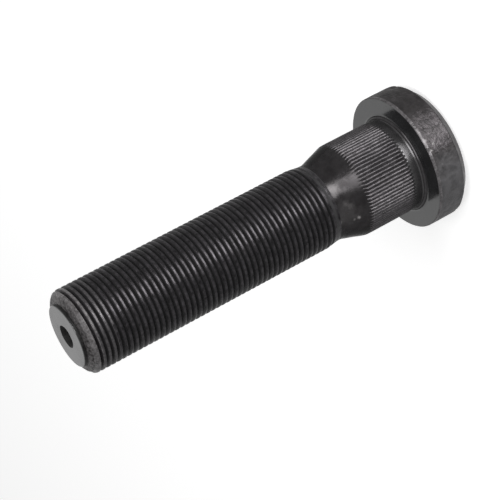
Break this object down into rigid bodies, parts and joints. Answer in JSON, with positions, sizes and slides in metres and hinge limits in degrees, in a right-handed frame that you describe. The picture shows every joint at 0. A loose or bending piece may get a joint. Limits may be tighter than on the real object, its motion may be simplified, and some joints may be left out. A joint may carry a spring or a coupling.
{
  "type": "wheel stud",
  "caption": "Press-in wheel stud with a disc head, a serrated shank, a cone, a fine-threaded shaft and a stepped tip.",
  "frame": {"origin": "centre of the head's flat back, which the stud stands on", "axes": "+Z along the stud's axis from the head to the threaded tip; X and Y are free because the stud is round"},
  "size_m": [0.0364, 0.0364, 0.1084],
  "materials": {
    "black_steel": "dark phosphate and oil on steel, satin on turned faces and rougher on the forged rim"
  },
  "bodies": {
    "root": {"wheel_stud": "black_steel"}
  },
  "joints": []
}
